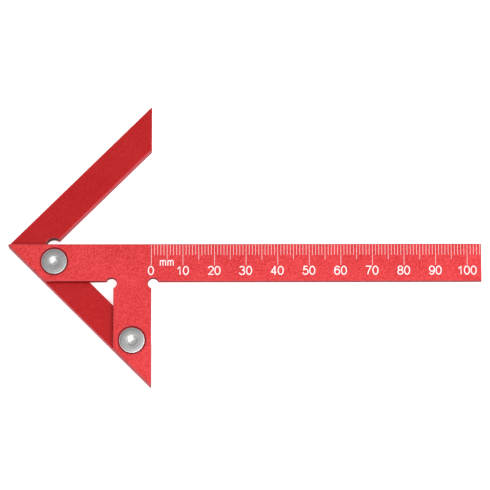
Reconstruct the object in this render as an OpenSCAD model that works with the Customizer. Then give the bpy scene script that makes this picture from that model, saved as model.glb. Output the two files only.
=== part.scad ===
// Centre finder: a ruler blade with a square leg, screwed down onto a right-angle vee.
// Round stock seats between the two arms of the vee, under the blade, and the blade's
// scribing edge then lies on a diameter of the stock.
//
// Frame: the scribing edge is the X axis and the vee opens towards +X. Z is up, and z = 0 is
// the underside of the vee. The origin is midway along the blade. All sizes are millimetres.

/* [Plate] */
// Full length of the blade, from the tip of the vee to the square end
blade_length = 150; // [120:5:200]
// Width of the blade
blade_width = 12; // [11:0.5:15]
// Width of the leg that runs square to the blade
leg_width = 12; // [11:0.5:15]
// Thickness of the plate that the blade and the leg are cut from
plate_thickness = 2.5; // [2.2:0.1:4]

/* [Centring vee] */
// Distance from the tip to the zero line, which is also half the width of the mouth
vee_reach = 45.5; // [44:0.5:60]
// Width of each arm
arm_width = 10; // [9:0.5:12]
// Thickness of the vee
vee_thickness = 4.5; // [4.3:0.1:8]

/* [Relief cuts] */
// Diameter of the relief cuts in the plate's two inside corners
plate_relief_diameter = 3.4; // [3:0.1:4]
// Distance of each plate relief's centre outside its corner, along both edges
plate_relief_offset = 0.6; // [0.4:0.1:0.7]
// Diameter of the relief cut in the vee's inside corner
vee_relief_diameter = 5.2; // [4:0.1:5.6]
// Distance of the vee relief's centre from its corner, towards the mouth
vee_relief_offset = 0.35; // [0:0.05:0.5]

/* [Scale] */
// Width of each engraved line
line_width = 0.1; // [0.1:0.05:0.4]
// Depth of each engraved line
line_depth = 0.05; // [0.02:0.01:0.1]
// Length of the lines at every millimetre
unit_line_length = 3.6; // [2:0.1:4]
// Length of the lines at every fifth millimetre
five_line_length = 5; // [4:0.1:6]
// Length of the lines at every tenth millimetre
ten_line_length = 6.9; // [6:0.1:8]

/* [Screws] */
// Diameter of the screw thread
thread_diameter = 4; // [3.5:0.1:4]
// Length of each screw under its head
screw_length = 5; // [3.5:0.1:5]
// Diameter of the thin flat head
head_diameter = 8.1; // [7:0.1:8.2]
// Height of the thin flat head
head_height = 1.3; // [1:0.1:1.4]
// Depth of the head below the plate's face
head_recess = 0.4; // [0.1:0.1:0.5]
// Width across flats of the hexagon socket
socket_width = 2.5; // [2:0.5:3]
// Depth of the hexagon socket
socket_depth = 1; // [0.6:0.1:1]
// Distance of the tip screw from the tip, along the blade
tip_screw_from_tip = 14.7; // [14:0.1:16]
// Distance of the tip screw from the scribing edge
tip_screw_from_edge = 5.5; // [5.2:0.1:6]
// Distance of the leg screw from the leg's square edge
leg_screw_from_edge = 6.1; // [5.5:0.1:6.5]
// Distance of the leg screw from the scribing edge
leg_screw_from_scribing_edge = 30.9; // [29:0.1:32]

/* [Edges] */
// Width of the small bevel that breaks the sharp edges
edge_break = 0.25; // [0.1:0.05:0.3]

/* [Hidden] */
$fn = 64;

over = 0.5;                    // how far every cutting solid runs past the face it cuts
hole_clearance = 0.4;          // how much wider a screw's clearance hole is than its thread
thread_clearance = 0.1;        // how much wider the plain stand-in for a tapped hole is
counterbore_clearance = 0.8;   // how much wider the counterbore is than the head
end_margin = 0.5;              // least distance of the last line from the blade's end

tip_x = -blade_length / 2;
zero_x = tip_x + vee_reach;
end_x = tip_x + blade_length;
leg_left_x = zero_x - leg_width;
arm_slant = arm_width * sqrt(2);        // an arm's width, measured along X or Y
inner_corner_x = tip_x + arm_slant;
plate_bottom_z = vee_thickness;
plate_top_z = plate_bottom_z + plate_thickness;
head_seat_z = plate_top_z - head_recess - head_height;
last_line = floor(end_x - zero_x - end_margin);

tip_screw_at = [tip_x + tip_screw_from_tip, -tip_screw_from_edge];
leg_screw_at = [zero_x - leg_screw_from_edge, -leg_screw_from_scribing_edge];
screw_places = [tip_screw_at, leg_screw_at];

// Both outlines run counter-clockwise
plate_outline = [
    [tip_x, 0],
    [tip_x + blade_width, -blade_width],
    [leg_left_x, -blade_width],
    [leg_left_x, leg_width - vee_reach],
    [zero_x, -vee_reach],
    [zero_x, -blade_width],
    [end_x, -blade_width],
    [end_x, 0]
];
vee_outline = [
    [tip_x, 0],
    [zero_x, -vee_reach],
    [zero_x, arm_slant - vee_reach],
    [inner_corner_x, 0],
    [zero_x, vee_reach - arm_slant],
    [zero_x, vee_reach]
];

plate_reliefs = [
    [leg_left_x - plate_relief_offset, -blade_width - plate_relief_offset],
    [zero_x + plate_relief_offset, -blade_width - plate_relief_offset]
];

// Length of the scale's line at a whole number of millimetres
function line_length(mm) =
    mm % 10 == 0 ? ten_line_length
    : mm % 5 == 0 ? five_line_length
    : unit_line_length;

// Cuts the bevel along every straight edge of an outline's upper face, which is at z = 0
module break_outline(outline) {
    count = len(outline);
    for (i = [0 : count - 1]) {
        from = outline[i];
        along = outline[(i + 1) % count] - from;
        translate(from)
            rotate([0, 0, atan2(along[1], along[0])])
                translate([-over, 0, 0])
                    rotate([90, 0, 90])
                        linear_extrude(norm(along) + 2 * over)
                            polygon([
                                [edge_break + over, over],
                                [-over, -edge_break - over],
                                [-over, over]
                            ]);
    }
}

// Cuts the bevel round the upper mouth of a hole, which is at z = 0
module break_mouth(diameter) {
    translate([0, 0, -edge_break])
        cylinder(
            h = edge_break + over,
            d1 = diameter,
            d2 = diameter + 2 * (edge_break + over)
        );
}

// Cuts a round hole down from z = 0, with a bevel at its upper mouth
module hole(diameter, depth) {
    translate([0, 0, -depth])
        cylinder(h = depth + over, d = diameter);
    break_mouth(diameter);
}

// The engraved lines, cut into a face at z = 0
module scale_lines() {
    for (mm = [0 : last_line])
        translate([zero_x + mm - line_width / 2, -line_length(mm), -line_depth])
            cube([line_width, line_length(mm) + over, line_depth + over]);
}

// Thin-headed screw with its seat at z = 0 and its thread pointing down
module thin_head_screw() {
    thread_r = thread_diameter / 2;
    head_r = head_diameter / 2;
    lead_in = 0.4;
    head_bevel = 0.2;
    difference() {
        rotate_extrude()
            polygon([
                [0, -screw_length],
                [thread_r - lead_in, -screw_length],
                [thread_r, lead_in - screw_length],
                [thread_r, 0],
                [head_r, 0],
                [head_r, head_height - head_bevel],
                [head_r - head_bevel, head_height],
                [0, head_height]
            ]);
        translate([0, 0, head_height - socket_depth])
            cylinder(h = socket_depth + over, d = socket_width / cos(30), $fn = 6);
    }
}

// Flat plate: the ruler blade, with the leg square to it, in one piece
module ruler_blade() {
    color([0.91, 0.29, 0.30])
        translate([0, 0, plate_top_z])
            difference() {
                translate([0, 0, -plate_thickness])
                    linear_extrude(plate_thickness)
                        polygon(plate_outline);
                break_outline(plate_outline);
                for (place = plate_reliefs)
                    translate(place)
                        hole(plate_relief_diameter, plate_thickness + over);
                for (place = screw_places)
                    translate(place) {
                        hole(head_diameter + counterbore_clearance, head_recess + head_height);
                        translate([0, 0, -plate_thickness - over])
                            cylinder(
                                h = plate_thickness + 2 * over,
                                d = thread_diameter + hole_clearance
                            );
                    }
                scale_lines();
            }
}

// Thick right-angle vee, whose two inside faces seat against round stock
module centring_vee() {
    relief_at = [inner_corner_x + vee_relief_offset, 0];
    color([0.76, 0.18, 0.19])
        difference() {
            linear_extrude(vee_thickness)
                polygon(vee_outline);
            // Both faces of the vee are cut alike
            for (side = [0, 1])
                translate([0, 0, vee_thickness / 2])
                    mirror([0, 0, side])
                        translate([0, 0, vee_thickness / 2]) {
                            break_outline(vee_outline);
                            translate(relief_at)
                                hole(vee_relief_diameter, vee_thickness / 2 + over);
                            for (place = screw_places)
                                translate(place)
                                    hole(
                                        thread_diameter + thread_clearance,
                                        vee_thickness / 2 + over
                                    );
                        }
        }
}

// Screw near the tip, through the blade
module tip_screw() {
    color([0.66, 0.66, 0.66])
        translate([tip_screw_at[0], tip_screw_at[1], head_seat_z])
            thin_head_screw();
}

// Screw near the lower end of the leg
module leg_screw() {
    color([0.66, 0.66, 0.66])
        translate([leg_screw_at[0], leg_screw_at[1], head_seat_z])
            thin_head_screw();
}

ruler_blade();
centring_vee();
tip_screw();
leg_screw();
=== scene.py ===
import math

import bmesh
import bpy
from mathutils import Matrix, Vector


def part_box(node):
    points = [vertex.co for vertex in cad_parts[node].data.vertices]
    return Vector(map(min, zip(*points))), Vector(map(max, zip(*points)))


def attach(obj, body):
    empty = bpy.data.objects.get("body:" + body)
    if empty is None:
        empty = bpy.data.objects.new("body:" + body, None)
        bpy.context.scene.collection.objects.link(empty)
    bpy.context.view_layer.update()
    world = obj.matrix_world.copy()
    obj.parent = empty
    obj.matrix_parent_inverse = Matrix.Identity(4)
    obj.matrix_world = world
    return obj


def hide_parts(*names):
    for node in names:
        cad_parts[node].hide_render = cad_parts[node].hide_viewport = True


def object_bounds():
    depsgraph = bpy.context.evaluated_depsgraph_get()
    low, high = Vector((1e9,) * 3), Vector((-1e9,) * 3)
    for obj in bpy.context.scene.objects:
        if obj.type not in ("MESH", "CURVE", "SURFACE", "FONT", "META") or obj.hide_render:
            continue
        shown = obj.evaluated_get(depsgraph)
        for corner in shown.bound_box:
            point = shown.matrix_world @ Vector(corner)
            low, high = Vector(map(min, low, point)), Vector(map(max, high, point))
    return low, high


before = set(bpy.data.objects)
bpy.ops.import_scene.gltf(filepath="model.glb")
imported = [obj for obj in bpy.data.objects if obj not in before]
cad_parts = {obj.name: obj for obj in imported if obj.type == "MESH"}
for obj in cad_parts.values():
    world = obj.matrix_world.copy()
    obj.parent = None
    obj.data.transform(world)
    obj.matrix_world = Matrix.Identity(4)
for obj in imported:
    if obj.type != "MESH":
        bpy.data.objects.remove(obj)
cad_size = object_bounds()
mm = 0.001

# ---- The bench, the lamps and the camera ----------------------------------------------------
# The tool lies flat on a white light table, which glows faintly from below. A broad soft lamp
# hangs over the leg's side, a smaller one beyond the blade's end, and the pale room fills the
# rest.
scene = bpy.context.scene
blade_low, blade_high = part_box("ruler_blade")
face_z = blade_high.z


def new_material(name):
    """A material with its node tree, its links and its Principled node."""
    material = bpy.data.materials.new(name)
    material.use_nodes = True
    tree = material.node_tree
    return material, tree.nodes, tree.links, tree.nodes["Principled BSDF"]


def new_piece(name, mesh, *materials):
    """An object that shows a mesh where it is."""
    piece = bpy.data.objects.new(name, mesh)
    scene.collection.objects.link(piece)
    for material in materials:
        mesh.materials.append(material)
    return piece


def noise(tree, vector, scale, detail=2.0, stretch=None):
    """A noise texture's value, on a vector that may be stretched first."""
    texture = tree.nodes.new("ShaderNodeTexNoise")
    texture.inputs["Scale"].default_value = scale
    texture.inputs["Detail"].default_value = detail
    if stretch:
        mapping = tree.nodes.new("ShaderNodeMapping")
        mapping.inputs["Scale"].default_value = stretch
        tree.links.new(vector, mapping.inputs["Vector"])
        vector = mapping.outputs["Vector"]
    tree.links.new(vector, texture.inputs["Vector"])
    return texture.outputs["Fac"]


def mixed(tree, factor, first, second):
    """Two colours mixed by a socket's factor. Each is a colour or a socket."""
    node = tree.nodes.new("ShaderNodeMix")
    node.data_type = "RGBA"
    tree.links.new(factor, node.inputs["Factor"])
    for side, colour in (("A", first), ("B", second)):
        if isinstance(colour, tuple):
            node.inputs[side].default_value = colour
        else:
            tree.links.new(colour, node.inputs[side])
    return node.outputs["Result"]


def bench_finish():
    """Matt white acrylic, very slightly uneven in tone, with a faint glow."""
    material, nodes, links, surface = new_material("white_acrylic")
    tree = material.node_tree
    surface.inputs["Emission Color"].default_value = (1, 1, 1, 1)
    surface.inputs["Emission Strength"].default_value = 0.62
    surface.inputs["Roughness"].default_value = 0.75
    surface.inputs["Specular IOR Level"].default_value = 0.2
    place = nodes.new("ShaderNodeTexCoord").outputs["Object"]
    clouds = noise(tree, place, scale=9.0)
    tone = mixed(tree, clouds, (0.90, 0.90, 0.895, 1), (0.93, 0.93, 0.93, 1))
    links.new(tone, surface.inputs["Base Color"])
    return material


def bench_top():
    """A wide flat sheet just under the tool."""
    reach = 3.0
    gap = 0.05 * mm
    level = cad_size[0].z - gap
    corners = [(-reach, -reach), (reach, -reach), (reach, reach), (-reach, reach)]
    mesh = bpy.data.meshes.new("bench_top")
    mesh.from_pydata([(x, y, level) for x, y in corners], [], [(0, 1, 2, 3)])
    return new_piece("bench_top", mesh, bench_finish())


def lamp(name, place, width, power):
    """A square soft lamp that faces the tool."""
    light = bpy.data.lights.new(name, "AREA")
    light.size = width
    light.energy = power
    holder = bpy.data.objects.new(name, light)
    holder.location = place
    holder.rotation_euler = (-Vector(place)).to_track_quat("-Z", "Y").to_euler()
    scene.collection.objects.link(holder)


bench_top()
lamp("overhead_lamp", place=(0.22, -0.45, 1.27), width=1.1, power=12.6)
lamp("end_lamp", place=(0.42, 0.15, 1.1), width=0.35, power=1.7)

room = bpy.data.worlds.new("pale_room")
room.use_nodes = True
room.node_tree.nodes["Background"].inputs["Color"].default_value = (1, 1, 1, 1)
room.node_tree.nodes["Background"].inputs["Strength"].default_value = 0.60
scene.world = room
scene.view_settings.view_transform = "Standard"

# The camera looks almost straight down, from about a metre away on the leg's side
camera_distance = 1063.7 * mm
camera_lean = 12.12
camera_swing = -0.30
camera_roll = -0.08
camera_aim = Vector((0.5 * mm, -6 * mm, face_z))
camera_shift = Vector((-0.36 * mm, 5.49 * mm, camera_distance))
lens = bpy.data.cameras.new("camera")
lens.sensor_width = 36
lens.lens = 246.9
lens.clip_start = 0.01
camera = bpy.data.objects.new("camera", lens)
camera.matrix_world = (
    Matrix.Translation(camera_aim)
    @ Matrix.Rotation(math.radians(camera_lean), 4, "X")
    @ Matrix.Rotation(math.radians(camera_swing), 4, "Y")
    @ Matrix.Rotation(math.radians(camera_roll), 4, "Z")
    @ Matrix.Translation(camera_shift)
)
scene.collection.objects.link(camera)
scene.camera = camera

# ---- The ruler blade ------------------------------------------------------------------------
# A flat aluminium plate with the leg square to it. It is milled from sheet in one piece,
# bead-blasted, its edges lightly broken, and anodised red. Two counterbores take the screws.
vee_low, vee_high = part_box("centring_vee")
blade_width = 12 * mm
leg_width = 12 * mm
broken_edge = 0.25 * mm
relief_radius = 1.7 * mm
relief_offset = 0.6 * mm
counterbore_radius = 4.45 * mm
counterbore_depth = 1.7 * mm
clearance_radius = 2.2 * mm
relief_steps = 40
hole_steps = 96
narrow_face = 0.5 * mm
# Marks on the walls: milled walls pick the walls' painted shade, drilled walls a darker painted
# shade.
wall_mark = 1.0
drilled_shade_mark = 2.0


def arc(centre, radius, start, end, steps):
    """Points along a round stretch, from one angle to another in degrees."""
    angles = [math.radians(start + (end - start) * i / steps) for i in range(steps + 1)]
    return [centre + radius * Vector((math.cos(a), math.sin(a))) for a in angles]


def mitred(before, point, after, distance, blunting=0.0):
    """A corner moved to the left of its path by a distance, along its mitre. Blunting, from
    0 to 1, shortens the mitre where the path turns back on itself."""
    arriving = (point - before).normalized()
    leaving = (after - point).normalized()
    left = arriving.orthogonal() + leaving.orthogonal()
    return point + left * distance / max(1 + arriving.dot(leaving), blunting)


def inset(outline, distance):
    """A closed outline moved to its left by a distance."""
    following = outline[1:] + outline[:1]
    return [
        mitred(outline[i - 1], point, after, distance)
        for i, (point, after) in enumerate(zip(outline, following))
    ]


def ring(bm, outline, z):
    """One closed loop of vertices at a height."""
    return [bm.verts.new((point.x, point.y, z)) for point in outline]


def wall(bm, upper, lower, mask, value, drilled_shade_value=None):
    """Faces between two loops, marked with a value for the finish, which on the walls picks
    their painted shade. Round stretches, whose faces are narrow, are drilled and may have a
    value of their own, which picks a darker painted shade."""
    for i in range(len(upper)):
        face = bm.faces.new((upper[i - 1], lower[i - 1], lower[i], upper[i]))
        drilled = (upper[i].co - upper[i - 1].co).length < narrow_face
        for corner in face.loops:
            corner[mask] = drilled_shade_value if drilled and drilled_shade_value else value


def cap(bm, loops):
    """Fills the flat area between closed loops."""
    edges = [bm.edges.get((loop[i - 1], loop[i])) for loop in loops for i in range(len(loop))]
    bmesh.ops.triangle_fill(bm, use_beauty=True, edges=edges)


def rounded_rings(bm, outline, z, towards):
    """Loops that round off an edge: from the flat face, at z, to the wall beside it."""
    turns = [math.radians(a) for a in (0, 30, 60, 90)]
    return [
        ring(
            bm,
            inset(outline, broken_edge * (1 - math.sin(turn))),
            z + towards * broken_edge * (1 - math.cos(turn)),
        )
        for turn in turns
    ]


def milled_plate(name, outline, stepped_holes, low_z, high_z):
    """A flat plate with broken edges. Each hole is its centre, its upper radius, the depth of
    its step and its lower radius. The walls of a stepped hole keep the faces' finish; the other
    walls are marked for a painted shade."""
    bm = bmesh.new()
    edge_mask = bm.loops.layers.float.new("broken_edge")
    wall_mask = bm.loops.layers.float.new("milled_wall")
    upper_loops, lower_loops = [], []
    boundaries = [(outline, None, outline)]
    for centre, upper_radius, step_depth, lower_radius in stepped_holes:
        upper = arc(centre, upper_radius, 360, 0, hole_steps)[:-1]
        lower = arc(centre, lower_radius, 360, 0, hole_steps)[:-1]
        boundaries.append((upper, step_depth, lower))
    for upper, step_depth, lower in boundaries:
        upper_rings = rounded_rings(bm, upper, high_z, -1)
        lower_rings = rounded_rings(bm, lower, low_z, 1)
        for a, b in zip(upper_rings, upper_rings[1:]):
            wall(bm, a, b, edge_mask, 1.0)
        for a, b in zip(lower_rings, lower_rings[1:]):
            wall(bm, b, a, edge_mask, 1.0)
        shaft = [upper_rings[-1]]
        if step_depth:
            shaft.append(ring(bm, upper, high_z - step_depth))
            shaft.append(ring(bm, lower, high_z - step_depth))
        shaft.append(lower_rings[-1])
        for a, b in zip(shaft, shaft[1:]):
            if step_depth:
                wall(bm, a, b, wall_mask, 0.0)
            else:
                wall(bm, a, b, wall_mask, wall_mark, drilled_shade_mark)
        upper_loops.append(upper_rings[0])
        lower_loops.append(lower_rings[0])
    cap(bm, upper_loops)
    cap(bm, lower_loops)
    bmesh.ops.recalc_face_normals(bm, faces=bm.faces)
    mesh = bpy.data.meshes.new(name)
    bm.to_mesh(mesh)
    bm.free()
    return mesh


def flattened(piece):
    """The piece with its modifiers worked into its mesh."""
    ready = piece.evaluated_get(bpy.context.evaluated_depsgraph_get())
    mesh = bpy.data.meshes.new_from_object(ready)
    piece.modifiers.clear()
    piece.data = mesh
    mesh.name = piece.name
    return piece


def even_shading(piece):
    """Smooth rounded edges between faces that stay flat, kept in the mesh as its own normals."""
    piece.data.shade_smooth()
    piece.data.set_sharp_from_angle(angle=math.radians(35))
    weighting = piece.modifiers.new("even_shading", "WEIGHTED_NORMAL")
    weighting.weight = 100
    weighting.keep_sharp = True
    return flattened(piece)


def screw_centre(node):
    """Where a screw's axis is, seen from above."""
    low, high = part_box(node)
    return ((low + high) / 2).xy


def blade_outline():
    """Counter-clockwise from the tip: along the slanted end, the leg and the square end."""
    tip, end, zero = blade_low.x, blade_high.x, vee_high.x
    reach = zero - tip
    leg_left = zero - leg_width
    mouth = math.sqrt(relief_radius**2 - relief_offset**2)
    lean = math.degrees(math.atan2(relief_offset, mouth))
    left_relief = Vector((leg_left - relief_offset, -blade_width - relief_offset))
    right_relief = Vector((zero + relief_offset, -blade_width - relief_offset))
    return (
        [Vector((tip, 0)), Vector((tip + blade_width, -blade_width))]
        + arc(left_relief, relief_radius, 180 - lean, lean - 90, relief_steps)
        + [Vector((leg_left, leg_width - reach)), Vector((zero, -reach))]
        + arc(right_relief, relief_radius, 270 - lean, lean, relief_steps)
        + [Vector((end, -blade_width)), Vector((end, 0))]
    )


def group_tree(name, inputs, outputs):
    """A shader group with named sockets, what it is given and what it puts out."""
    tree = bpy.data.node_groups.new(name, "ShaderNodeTree")
    for socket, kind, value in inputs:
        made = tree.interface.new_socket(socket, in_out="INPUT", socket_type="NodeSocket" + kind)
        if value is not None:
            made.default_value = value
    for socket, kind in outputs:
        tree.interface.new_socket(socket, in_out="OUTPUT", socket_type="NodeSocket" + kind)
    given = tree.nodes.new("NodeGroupInput")
    result = tree.nodes.new("NodeGroupOutput")
    return tree, given.outputs, result.inputs


def maths(tree, operation, *values):
    """A Math node's result. Each value is a number or a socket."""
    node = tree.nodes.new("ShaderNodeMath")
    node.operation = operation
    for socket, value in zip(node.inputs, values):
        if isinstance(value, (int, float)):
            socket.default_value = value
        else:
            tree.links.new(value, socket)
    return node.outputs["Value"]


def ranged(tree, value, low, high, to_low, to_high):
    """A value carried from one range to another, and held inside it."""
    node = tree.nodes.new("ShaderNodeMapRange")
    tree.links.new(value, node.inputs["Value"])
    node.inputs["From Min"].default_value = low
    node.inputs["From Max"].default_value = high
    node.inputs["To Min"].default_value = to_low
    node.inputs["To Max"].default_value = to_high
    return node.outputs["Result"]


def blasted_skin():
    """Shader group: the fine mottled grain that bead blasting leaves under an anodised layer."""
    cloud_contrast = 0.12
    peak_polish = 0.05
    crater_share = 0.35
    tree, given, result = group_tree(
        "blasted_skin",
        [
            ("Vector", "Vector", None),
            ("Pit colour", "Color", (0.7, 0.1, 0.1, 1)),
            ("Peak colour", "Color", (0.9, 0.1, 0.1, 1)),
            ("Grain per metre", "Float", 2000.0),
            ("Roughness", "Float", 0.5),
        ],
        [("Colour", "Color"), ("Roughness", "Float"), ("Height", "Float")],
    )
    grains = tree.nodes.new("ShaderNodeTexNoise")
    grains.inputs["Detail"].default_value = 3.0
    grains.inputs["Roughness"].default_value = 0.65
    tree.links.new(given["Vector"], grains.inputs["Vector"])
    tree.links.new(given["Grain per metre"], grains.inputs["Scale"])
    craters = noise(tree, given["Vector"], scale=7000.0, detail=1.0)
    clouds = noise(tree, given["Vector"], scale=110.0, detail=3.0)
    grain_tone = ranged(tree, grains.outputs["Fac"], 0.3, 0.7, 0.0, 1.0)
    cloud_tone = ranged(tree, clouds, 0.3, 0.7, -cloud_contrast, cloud_contrast)
    tone = maths(tree, "ADD", grain_tone, cloud_tone)
    shade = mixed(tree, tone, given["Pit colour"], given["Peak colour"])
    tree.links.new(shade, result["Colour"])
    polish = maths(tree, "MULTIPLY", tone, -peak_polish)
    tree.links.new(maths(tree, "ADD", given["Roughness"], polish), result["Roughness"])
    dents = maths(tree, "MULTIPLY", craters, crater_share)
    tree.links.new(maths(tree, "ADD", grains.outputs["Fac"], dents), result["Height"])
    return tree


def handling_marks():
    """Shader group: sparse faint hairlines and rubbed patches, as on a tool that is used."""
    tree, given, result = group_tree(
        "handling_marks",
        [("Vector", "Vector", None), ("Amount", "Float", 0.5)],
        [("Mask", "Float")],
    )
    lines = noise(tree, given["Vector"], scale=3000.0, stretch=(0.02, 1.0, 1.0))
    patches = noise(tree, given["Vector"], scale=60.0)
    thin = ranged(tree, lines, 0.62, 0.68, 0.0, 1.0)
    where = ranged(tree, patches, 0.5, 0.7, 0.0, 1.0)
    both = maths(tree, "MULTIPLY", thin, where)
    tree.links.new(maths(tree, "MULTIPLY", both, given["Amount"]), result["Mask"])
    return tree


def placed_group(nodes, tree):
    """A node that shows a shader group."""
    node = nodes.new("ShaderNodeGroup")
    node.node_tree = tree
    return node


skin_group = blasted_skin()
marks_group = handling_marks()
# Painted shade for the drilled hollows: a darker colour, and a dimmer tint on their reflection.
drilled_hollow_shade = (0.09, 0.003, 0.006, 1)
sheen_tint = (0.8, 0.34, 0.37, 1)
drilled_reflection_shade = (0.36, 0.06, 0.08, 1)
face_metal = 0.35
wall_metal = 0.8


def mesh_mask(nodes, name):
    """A mask that is kept in the mesh, as a socket."""
    attribute = nodes.new("ShaderNodeAttribute")
    attribute.attribute_name = name
    return attribute.outputs["Fac"]


def anodised(
    name, pit_colour, peak_colour, painted_wall_shade, wear_and_highlight_colour, grain, roughness, coat, bump
):
    """Dyed and sealed aluminium: grain on its faces, a deeper painted shade and painted
    reflection on its milled walls, a dull dark painted shade where it is drilled, and broken
    edges lighter, partly from wear and partly as a painted highlight."""
    material, nodes, links, surface = new_material(name)
    tree = material.node_tree
    place = nodes.new("ShaderNodeTexCoord").outputs["Object"]
    skin = placed_group(nodes, skin_group)
    skin.inputs["Pit colour"].default_value = (*pit_colour, 1)
    skin.inputs["Peak colour"].default_value = (*peak_colour, 1)
    skin.inputs["Grain per metre"].default_value = grain
    skin.inputs["Roughness"].default_value = roughness
    marks = placed_group(nodes, marks_group)
    marks.inputs["Amount"].default_value = 0.2
    for group in (skin, marks):
        links.new(place, group.inputs["Vector"])
    walls = mesh_mask(nodes, "milled_wall")
    drilled = ranged(tree, walls, wall_mark, drilled_shade_mark, 0.0, 1.0)
    rubbed = ranged(tree, noise(tree, place, scale=500.0), 0.35, 0.65, 0.25, 0.8)
    # Broken edges go lighter: partly rubbed wear, partly a painted highlight where the rounded
    # edge catches light.
    edge_wear_and_highlight = maths(tree, "MULTIPLY", mesh_mask(nodes, "broken_edge"), rubbed)
    # Milled walls take a painted shade and painted reflection in place of the grain's colour.
    shade = mixed(tree, walls, skin.outputs["Colour"], (*painted_wall_shade, 1))
    # Drilled round walls get a darker painted shade.
    shade = mixed(tree, drilled, shade, drilled_hollow_shade)
    shade = mixed(tree, edge_wear_and_highlight, shade, (*wear_and_highlight_colour, 1))
    shade = mixed(tree, marks.outputs["Mask"], shade, (*wear_and_highlight_colour, 1))
    links.new(shade, surface.inputs["Base Color"])
    links.new(skin.outputs["Roughness"], surface.inputs["Roughness"])
    metal = ranged(tree, walls, 0.0, wall_mark, face_metal, wall_metal)
    links.new(metal, surface.inputs["Metallic"])
    # A dimmer reflection tint in the drilled hollows is painted shade on the reflection.
    tint = mixed(tree, drilled, sheen_tint, drilled_reflection_shade)
    links.new(tint, surface.inputs["Specular Tint"])
    seal = ranged(tree, walls, 0.0, wall_mark, coat, 0.0)
    links.new(seal, surface.inputs["Coat Weight"])
    surface.inputs["Coat Roughness"].default_value = 0.45
    relief = nodes.new("ShaderNodeBump")
    relief.inputs["Strength"].default_value = bump
    relief.inputs["Distance"].default_value = 0.02 * mm
    links.new(skin.outputs["Height"], relief.inputs["Height"])
    links.new(relief.outputs["Normal"], surface.inputs["Normal"])
    return material


blade_finish = anodised(
    "red_blasted_anodising",
    pit_colour=(0.47, 0.002, 0.004),
    peak_colour=(0.75, 0.058, 0.064),
    # Painted shade and painted reflection for the milled walls.
    painted_wall_shade=(0.17, 0.005, 0.010),
    # The edges' colour is partly wear and partly a painted highlight; handling marks take it
    # too.
    wear_and_highlight_colour=(0.45, 0.05, 0.06),
    grain=1900.0,
    roughness=0.5,
    coat=0.3,
    bump=0.6,
)
screw_nodes = ("tip_screw", "leg_screw")
blade_mesh = milled_plate(
    "ruler_blade_plate",
    blade_outline(),
    [
        (screw_centre(node), counterbore_radius, counterbore_depth, clearance_radius)
        for node in screw_nodes
    ],
    blade_low.z,
    blade_high.z,
)
blade = even_shading(new_piece("ruler_blade_plate", blade_mesh, blade_finish))
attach(blade, "root")
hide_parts("ruler_blade")

# ---- The engraved scale ---------------------------------------------------------------------
# A laser burns the dye out of the blade's face: a line at every millimetre from 0 to 104, longer
# at the fives and the tens, with the tens numbered. The marks are bare white oxide.
scale_marks = 105
line_width = 0.1 * mm
unit_line, five_line, ten_line = 3.6 * mm, 5.0 * mm, 6.9 * mm
mark_height = 0.008 * mm
layer_step = 0.001 * mm
stroke_blunting = 0.5
stroke_width = 0.34 * mm
numeral_height = 2.95 * mm
numeral_middle = -8.6 * mm
numeral_width = 1.93 * mm
numeral_pitch = 2.13 * mm
numeral_shift = -0.14 * mm
unit_across, unit_middle = 4.88 * mm, -6.17 * mm
unit_width, unit_height = 1.97 * mm, 2.0 * mm
unit_pitch = 2.4 * mm
unit_stroke = 0.29 * mm


def scale_enamel():
    """White oxide, a little rough and a little uneven."""
    material, nodes, links, surface = new_material("white_scale_marks")
    tree = material.node_tree
    place = nodes.new("ShaderNodeTexCoord").outputs["Object"]
    speckle = ranged(tree, noise(tree, place, scale=2600.0, detail=3.0), 0.3, 0.7, 0.0, 1.0)
    shade = mixed(tree, speckle, (0.86, 0.80, 0.79, 1), (1.0, 0.97, 0.96, 1))
    links.new(shade, surface.inputs["Base Color"])
    links.new(ranged(tree, speckle, 0.0, 1.0, 0.6, 0.8), surface.inputs["Roughness"])
    return material


def node_sockets(tree, kind, **values):
    """A node of a kind, with its inputs set by name from numbers or sockets."""
    node = tree.nodes.new(kind)
    for name, value in values.items():
        socket = node.inputs[name.replace("_", " ")]
        if isinstance(value, bpy.types.NodeSocket):
            tree.links.new(value, socket)
        else:
            socket.default_value = value
    return node


def geometry_tree(name, inputs):
    """A Geometry Nodes tree with named inputs and one geometry output."""
    tree = bpy.data.node_groups.new(name, "GeometryNodeTree")
    for socket, kind in inputs:
        tree.interface.new_socket(socket, in_out="INPUT", socket_type="NodeSocket" + kind)
    tree.interface.new_socket("Geometry", in_out="OUTPUT", socket_type="NodeSocketGeometry")
    given = tree.nodes.new("NodeGroupInput").outputs
    result = tree.nodes.new("NodeGroupOutput").inputs["Geometry"]
    return tree, given, result


def grown(name, tree, values):
    """A piece made by a Geometry Nodes tree with these input values, as a plain mesh."""
    piece = new_piece(name, bpy.data.meshes.new(name))
    growth = piece.modifiers.new("growth", "NODES")
    growth.node_group = tree
    for item in tree.interface.items_tree:
        if item.in_out == "INPUT":
            growth[item.identifier] = values[item.name]
    return flattened(piece)


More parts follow.
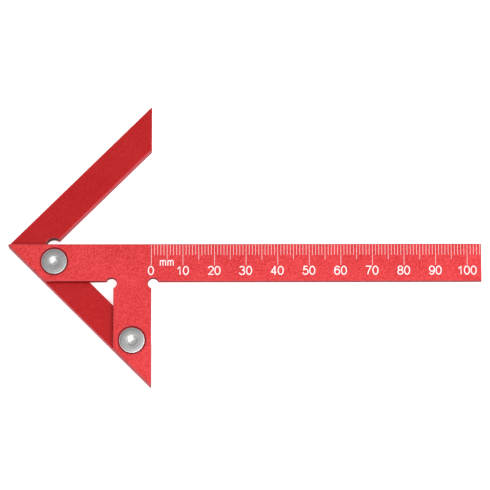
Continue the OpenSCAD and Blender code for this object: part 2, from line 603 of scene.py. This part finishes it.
def scale_line_tree():
    """Boxes in a row, whose lengths follow the count of millimetres."""
    tree, given, result = geometry_tree(
        "scale_lines",
        [
            ("Lines", "Int"),
            ("Pitch", "Vector"),
            ("Start", "Vector"),
            ("Width", "Float"),
            ("Unit length", "Float"),
            ("Five length", "Float"),
            ("Ten length", "Float"),
            ("Height", "Float"),
            ("Finish", "Material"),
        ],
    )
    row = node_sockets(
        tree,
        "GeometryNodeMeshLine",
        Count=given["Lines"],
        Start_Location=given["Start"],
        Offset=given["Pitch"],
    )
    box = tree.nodes.new("GeometryNodeMeshCube")
    hung = node_sockets(
        tree,
        "GeometryNodeTransform",
        Geometry=box.outputs["Mesh"],
        Translation=(0.0, -0.5, 0.0),
    )
    index = tree.nodes.new("GeometryNodeInputIndex").outputs["Index"]

    def every(step, longer, shorter):
        """Picks the longer line at every so many millimetres."""
        rest = maths(tree, "MODULO", index, step)
        pick = tree.nodes.new("GeometryNodeSwitch")
        pick.input_type = "FLOAT"
        tree.links.new(maths(tree, "LESS_THAN", rest, 0.5), pick.inputs["Switch"])
        tree.links.new(longer, pick.inputs["True"])
        tree.links.new(shorter, pick.inputs["False"])
        return pick.outputs["Output"]

    length = every(10, given["Ten length"], every(5, given["Five length"], given["Unit length"]))
    size = node_sockets(
        tree, "ShaderNodeCombineXYZ", X=given["Width"], Y=length, Z=given["Height"]
    )
    lines = node_sockets(
        tree,
        "GeometryNodeInstanceOnPoints",
        Points=row.outputs["Mesh"],
        Instance=hung.outputs["Geometry"],
        Scale=size.outputs["Vector"],
    )
    solid = node_sockets(
        tree, "GeometryNodeRealizeInstances", Geometry=lines.outputs["Instances"]
    )
    finished = node_sockets(
        tree,
        "GeometryNodeSetMaterial",
        Geometry=solid.outputs["Geometry"],
        Material=given["Finish"],
    )
    tree.links.new(finished.outputs["Geometry"], result)
    return tree


white_marks = scale_enamel()
scale_lines = grown(
    "scale_lines",
    scale_line_tree(),
    {
        "Lines": scale_marks,
        "Pitch": (1 * mm, 0.0, 0.0),
        "Start": (vee_high.x, -broken_edge, face_z),
        "Width": line_width,
        "Unit length": unit_line - broken_edge,
        "Five length": five_line - broken_edge,
        "Ten length": ten_line - broken_edge,
        "Height": 2 * mark_height,
        "Finish": white_marks,
    },
)
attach(scale_lines, "root")


def bow(x, y, across, up, start, end):
    """An elliptical stretch of a numeral's stroke, in shares of its width and height."""
    steps = 24
    angles = [math.radians(start + (end - start) * i / steps) for i in range(steps + 1)]
    return [Vector((x + across * math.cos(a), y + up * math.sin(a))) for a in angles]


def line(*points):
    """A straight stretch of a numeral's stroke."""
    return [Vector(point) for point in points]


# Each numeral is one or more strokes inside a box that is 1 wide and 1 high
six = [bow(0.55, 0.5, 0.54, 0.5, 40, 205), bow(0.5, 0.32, 0.48, 0.32, 0, 360)]
numeral_strokes = {
    "0": [bow(0.5, 0.5, 0.5, 0.5, 0, 360)],
    "1": [line((0.16, 0.7), (0.46, 0.82), (0.68, 1.0), (0.68, 0.0))],
    "2": [bow(0.54, 0.73, 0.46, 0.27, 175, -28) + line((0.07, 0.02), (1.06, 0.02))],
    "3": [bow(0.43, 0.765, 0.42, 0.235, 165, -90), bow(0.44, 0.27, 0.52, 0.27, 90, -170)],
    "4": [
        line((0.7, -0.05), (0.7, 1.05)),
        line((0.7, 1.0), (-0.03, 0.27)),
        line((-0.08, 0.27), (0.98, 0.27)),
    ],
    "5": [
        line((0.9, 1.0), (0.24, 1.0), (0.1, 0.5)),
        bow(0.48, 0.33, 0.51, 0.33, 140, -165),
    ],
    "6": six,
    "7": [line((-0.1, 1.0), (0.97, 1.0), (0.64, 0.62), (0.4, 0.28), (0.32, 0.0))],
    "8": [bow(0.5, 0.765, 0.42, 0.235, 0, 360), bow(0.5, 0.27, 0.5, 0.27, 0, 360)],
    "9": [[Vector((1, 1)) - point for point in stroke] for stroke in six],
    "m": [
        line((0.0, 0.0), (0.0, 1.0)),
        bow(0.25, 0.68, 0.25, 0.32, 170, 0) + line((0.5, 0.0)),
        bow(0.75, 0.68, 0.25, 0.32, 170, 0) + line((1.0, 0.0)),
    ],
}


def ribbon(bm, points, width, z):
    """A flat stroke of even width, with its own thickness, along a run of points."""
    closed = (points[0] - points[-1]).length < width / 10
    if closed:
        points = points[:-1]
        sides = [inset(points, width / 2), inset(points, -width / 2)]
    else:
        first = 2 * points[0] - points[1]
        last = 2 * points[-1] - points[-2]
        runs = list(zip([first, *points], points, [*points[1:], last]))
        sides = [
            [mitred(*run, offset, stroke_blunting) for run in runs]
            for offset in (width / 2, -width / 2)
        ]
    top_left, top_right = [ring(bm, side, z + mark_height) for side in sides]
    low_left, low_right = [ring(bm, side, z - mark_height) for side in sides]
    around = [top_left, top_right, low_right, low_left]
    for i in range(0 if closed else 1, len(points)):
        for a, b in zip(around, around[1:] + around[:1]):
            bm.faces.new((a[i - 1], b[i - 1], b[i], a[i]))
    if not closed:
        for i in (0, -1):
            bm.faces.new([run[i] for run in around])


def write(bm, words, middle, size, pitch, stroke):
    """Numerals side by side, centred on a point. Size is the width and height of one, inked."""
    inner = size - Vector((stroke, stroke))
    start = middle.x - ((len(words) - 1) * pitch + inner.x) / 2
    foot = middle.y - inner.y / 2
    for i, sign in enumerate(words):
        for layer, points in enumerate(numeral_strokes[sign]):
            path = [
                Vector((start + i * pitch + point.x * inner.x, foot + point.y * inner.y))
                for point in points
            ]
            ribbon(bm, path, stroke, face_z + layer * layer_step)


def numerals():
    """The tens' numerals and the unit, all in one mesh."""
    bm = bmesh.new()
    size = Vector((numeral_width, numeral_height))
    for tens in range(0, scale_marks, 10):
        middle = Vector((vee_high.x + tens * mm + numeral_shift, numeral_middle))
        write(bm, str(tens), middle, size, numeral_pitch, stroke_width)
    middle = Vector((vee_high.x + unit_across, unit_middle))
    write(bm, "mm", middle, Vector((unit_width, unit_height)), unit_pitch, unit_stroke)
    bmesh.ops.recalc_face_normals(bm, faces=bm.faces)
    mesh = bpy.data.meshes.new("scale_numerals")
    bm.to_mesh(mesh)
    bm.free()
    return mesh


scale_numerals = new_piece("scale_numerals", numerals(), white_marks)
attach(scale_numerals, "root")

# ---- The centring vee -----------------------------------------------------------------------
# A thicker right-angle vee, milled from aluminium plate and anodised a deeper, smoother red.
# Its two inside faces seat on round stock; the round relief keeps the inside corner clear.
arm_width = 10 * mm
vee_relief_radius = 2.6 * mm
vee_relief_offset = 0.35 * mm
vee_relief_steps = 48
tapped_radius = 2.05 * mm


def vee_outline():
    """Counter-clockwise from the tip: the lower arm, the relief cut and the upper arm."""
    tip, mouth = vee_low.x, vee_high.x
    reach = mouth - tip
    slant = arm_width * math.sqrt(2)
    relief = Vector((tip + slant + vee_relief_offset, 0))
    lean = math.degrees(math.asin(vee_relief_offset * math.sqrt(0.5) / vee_relief_radius))
    return (
        [Vector((tip, 0)), Vector((mouth, -reach)), Vector((mouth, slant - reach))]
        + arc(relief, vee_relief_radius, 315 - lean, 45 + lean, vee_relief_steps)
        + [Vector((mouth, reach - slant)), Vector((mouth, reach))]
    )


vee_finish = anodised(
    "deep_red_satin_anodising",
    pit_colour=(0.385, 0.002, 0.003),
    peak_colour=(0.53, 0.021, 0.023),
    # Painted shade and painted reflection for the milled walls.
    painted_wall_shade=(0.22, 0.016, 0.022),
    # The edges' colour is partly wear and partly a painted highlight; handling marks take it
    # too.
    wear_and_highlight_colour=(0.50, 0.055, 0.07),
    grain=2600.0,
    roughness=0.34,
    coat=0.05,
    bump=0.3,
)
vee_mesh = milled_plate(
    "centring_vee_block",
    vee_outline(),
    [(screw_centre(node), tapped_radius, 0, tapped_radius) for node in screw_nodes],
    vee_low.z,
    vee_high.z,
)
vee = even_shading(new_piece("centring_vee_block", vee_mesh, vee_finish))
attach(vee, "root")
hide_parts("centring_vee")

# ---- The two screws -------------------------------------------------------------------------
# Thin-headed stainless socket screws. The head is turned on a lathe, the hexagon is punched,
# and the thread is rolled. They go through the blade's plate and into the tapped vee.
head_radius = 4.05 * mm
head_height = 1.3 * mm
head_rounding = 0.14 * mm
screw_length = 5 * mm
socket_half_width = 1.25 * mm
socket_depth = 1.0 * mm
crest_radius = 1.98 * mm
core_radius = 1.57 * mm
thread_pitch = 0.7 * mm
thread_start = 0.35 * mm
thread_length = screw_length - 1.1 * mm
lathe_steps = 96


def turned_steel():
    """Stainless steel with the lathe's fine rings, a painted highlight in the punched socket and
    a painted highlight on the head's rim.
    """
    material, nodes, links, surface = new_material("turned_stainless_steel")
    tree = material.node_tree
    turning = nodes.new("ShaderNodeAttribute")
    turning.attribute_name = "turning"
    parts = node_sockets(tree, "ShaderNodeSeparateXYZ", Vector=turning.outputs["Vector"])
    radius = parts.outputs["X"]
    along = node_sockets(tree, "ShaderNodeCombineXYZ", X=radius, Z=parts.outputs["Z"])
    rings = noise(tree, along.outputs["Vector"], scale=5500.0, detail=3.0)
    broad_rings = noise(tree, along.outputs["Vector"], scale=1500.0)
    place = nodes.new("ShaderNodeTexCoord").outputs["Object"]
    clouds = noise(tree, place, scale=1300.0, detail=3.0)
    marks = placed_group(nodes, marks_group)
    marks.inputs["Amount"].default_value = 0.5
    links.new(place, marks.inputs["Vector"])
    # The punched socket is painted brighter: a painted highlight where its floor catches light.
    socket_highlight_fade = (1.2 * socket_half_width, 1.3 * socket_half_width)
    # A painted highlight on the rim of the head, broken up by noise.
    rim_highlight_fade = (0.935 * head_radius, 0.965 * head_radius)
    socket_highlight = ranged(tree, radius, *socket_highlight_fade, 1.0, 0.0)
    rim_highlight = maths(
        tree,
        "MULTIPLY",
        ranged(tree, radius, *rim_highlight_fade, 0.0, 1.0),
        ranged(tree, noise(tree, place, scale=250.0), 0.4, 0.6, 0.2, 0.9),
    )
    tone = maths(
        tree,
        "ADD",
        ranged(tree, rings, 0.3, 0.7, 0.0, 0.5),
        ranged(tree, broad_rings, 0.3, 0.7, 0.0, 0.5),
    )
    shade = mixed(tree, tone, (0.115, 0.115, 0.115, 1), (0.53, 0.53, 0.525, 1))
    shade = mixed(tree, ranged(tree, clouds, 0.35, 0.65, 0.0, 0.5), shade, (0.25, 0.25, 0.25, 1))
    # Painted highlight in the socket.
    shade = mixed(tree, socket_highlight, shade, (0.54, 0.53, 0.52, 1))
    # Painted highlight on the head's rim.
    shade = mixed(tree, rim_highlight, shade, (0.7, 0.7, 0.71, 1))
    shade = mixed(tree, marks.outputs["Mask"], shade, (0.4, 0.4, 0.4, 1))
    links.new(shade, surface.inputs["Base Color"])
    links.new(ranged(tree, rings, 0.3, 0.7, 0.3, 0.42), surface.inputs["Roughness"])
    surface.inputs["Metallic"].default_value = 1.0
    relief = nodes.new("ShaderNodeBump")
    relief.inputs["Strength"].default_value = 0.5
    relief.inputs["Distance"].default_value = 0.015 * mm
    links.new(rings, relief.inputs["Height"])
    links.new(relief.outputs["Normal"], surface.inputs["Normal"])
    return material


def thread_tree():
    """A sixty-degree thread ridge: a three-sided profile swept along a helix."""
    tree, given, result = geometry_tree(
        "screw_thread",
        [
            ("Radius", "Float"),
            ("Turns", "Float"),
            ("Length", "Float"),
            ("Ridge", "Float"),
            ("Finish", "Material"),
        ],
    )
    helix = node_sockets(
        tree,
        "GeometryNodeCurveSpiral",
        Resolution=48,
        Rotations=given["Turns"],
        Start_Radius=given["Radius"],
        End_Radius=given["Radius"],
        Height=given["Length"],
    )
    level = tree.nodes.new("GeometryNodeSetCurveNormal")
    level.mode = "Z_UP"
    tree.links.new(helix.outputs["Curve"], level.inputs["Curve"])
    ridge = node_sockets(
        tree, "GeometryNodeCurvePrimitiveCircle", Resolution=3, Radius=given["Ridge"]
    )
    swept = node_sockets(
        tree,
        "GeometryNodeCurveToMesh",
        Curve=level.outputs["Curve"],
        Profile_Curve=ridge.outputs["Curve"],
        Fill_Caps=True,
    )
    flat = node_sockets(
        tree, "GeometryNodeSetShadeSmooth", Geometry=swept.outputs["Mesh"], Shade_Smooth=False
    )
    solid = node_sockets(tree, "GeometryNodeRealizeInstances", Geometry=flat.outputs["Geometry"])
    finished = node_sockets(
        tree,
        "GeometryNodeSetMaterial",
        Geometry=solid.outputs["Geometry"],
        Material=given["Finish"],
    )
    tree.links.new(finished.outputs["Geometry"], result)
    return tree


def socket_radius(angle):
    """How far the hexagon's wall is from its axis, in a direction."""
    return socket_half_width / math.cos((angle % (math.pi / 3)) - math.pi / 6)


def turned_body():
    """The screw without its thread, with its seat at z = 0: rings joined from the socket's
    middle, over the head and down to the point."""
    mouth = 1.06 * socket_radius(0)
    lead_in_slope = 0.6
    lip_drop = 0.03 * mm
    dish_depth = 0.2 * mm
    seat_bevel = 0.08 * mm
    neck_fillet = 0.15 * mm
    point_taper = 0.5 * mm
    point_rounding = 0.1 * mm
    floor_z = head_height - socket_depth

    def scallop(angle):
        """Height of the line where the socket's lead-in cone meets its wall."""
        return head_height - lead_in_slope * (mouth - socket_radius(angle))

    outer = [
        (mouth, head_height - lip_drop),
        (1.04 * mouth, head_height - lip_drop / 3),
        (1.1 * mouth, head_height),
    ]
    for turn in (math.radians(a) for a in (0, 22.5, 45, 67.5, 90)):
        radius = head_radius - head_rounding * (1 - math.sin(turn))
        outer.append((radius, head_height - head_rounding * (1 - math.cos(turn))))
    outer += [
        (head_radius, seat_bevel),
        (head_radius - seat_bevel, 0.0),
        (core_radius + neck_fillet, 0.0),
        (core_radius, -neck_fillet),
        (core_radius, point_taper - screw_length),
        (core_radius - point_taper + point_rounding, point_rounding - screw_length),
        (core_radius - point_taper, -screw_length),
    ]
    bm = bmesh.new()
    angles = [2 * math.pi * i / lathe_steps for i in range(lathe_steps)]

    def loop(radius_at, height_at):
        """A closed loop whose radius and height may change with the angle."""
        return [
            bm.verts.new((radius_at(a) * math.cos(a), radius_at(a) * math.sin(a), height_at(a)))
            for a in angles
        ]

    loops = [
        loop(lambda a: 0.45 * socket_half_width, lambda a: floor_z - 0.6 * dish_depth),
        loop(lambda a: 0.9 * socket_half_width, lambda a: floor_z),
        loop(socket_radius, lambda a: floor_z),
        loop(socket_radius, scallop),
    ]
    loops += [loop(lambda a, r=r: r, lambda a, z=z: z) for r, z in outer]
    for inner, wider in zip(loops, loops[1:]):
        for i in range(lathe_steps):
            bm.faces.new((inner[i - 1], wider[i - 1], wider[i], inner[i]))
    for end, centre_z in ((loops[0], floor_z - dish_depth), (loops[-1], -screw_length)):
        centre = bm.verts.new((0, 0, centre_z))
        for i in range(lathe_steps):
            bm.faces.new((end[i - 1], end[i], centre))
    bmesh.ops.recalc_face_normals(bm, faces=bm.faces)
    mesh = bpy.data.meshes.new("turned_body")
    bm.to_mesh(mesh)
    bm.free()
    return mesh


def turning_marks(mesh):
    """Keeps each point's radius and height on the lathe, for the rings in the finish."""
    turning = mesh.attributes.new("turning", "FLOAT_VECTOR", "POINT")
    for vertex, entry in zip(mesh.vertices, turning.data):
        entry.vector = (vertex.co.xy.length, 0, vertex.co.z)


def joined(name, pieces):
    """Several pieces made one."""
    with bpy.context.temp_override(
        active_object=pieces[0], object=pieces[0], selected_editable_objects=pieces
    ):
        bpy.ops.object.join()
    pieces[0].name = name
    return pieces[0]


def screw(name, steel, thread, node, turn):
    """One screw, standing in its CAD place with its hexagon turned to an angle."""
    body = even_shading(new_piece(name + "_body", turned_body(), steel))
    ridge = grown(
        name + "_thread",
        thread,
        {
            "Radius": core_radius,
            "Turns": thread_length / thread_pitch,
            "Length": thread_length,
            "Ridge": crest_radius - core_radius,
            "Finish": steel,
        },
    )
    ridge.data.transform(Matrix.Translation((0, 0, thread_start - screw_length)))
    for part in (body, ridge):
        turning_marks(part.data)
    whole = joined(name, [body, ridge])
    seat = (*screw_centre(node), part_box(node)[1].z - head_height)
    whole.data.transform(Matrix.Translation(seat) @ Matrix.Rotation(turn, 4, "Z"))
    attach(whole, "root")
    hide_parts(node)


steel_finish = turned_steel()
thread_shape = thread_tree()
screw("tip_socket_screw", steel_finish, thread_shape, "tip_screw", turn=math.radians(12))
screw("leg_socket_screw", steel_finish, thread_shape, "leg_screw", turn=math.radians(20))
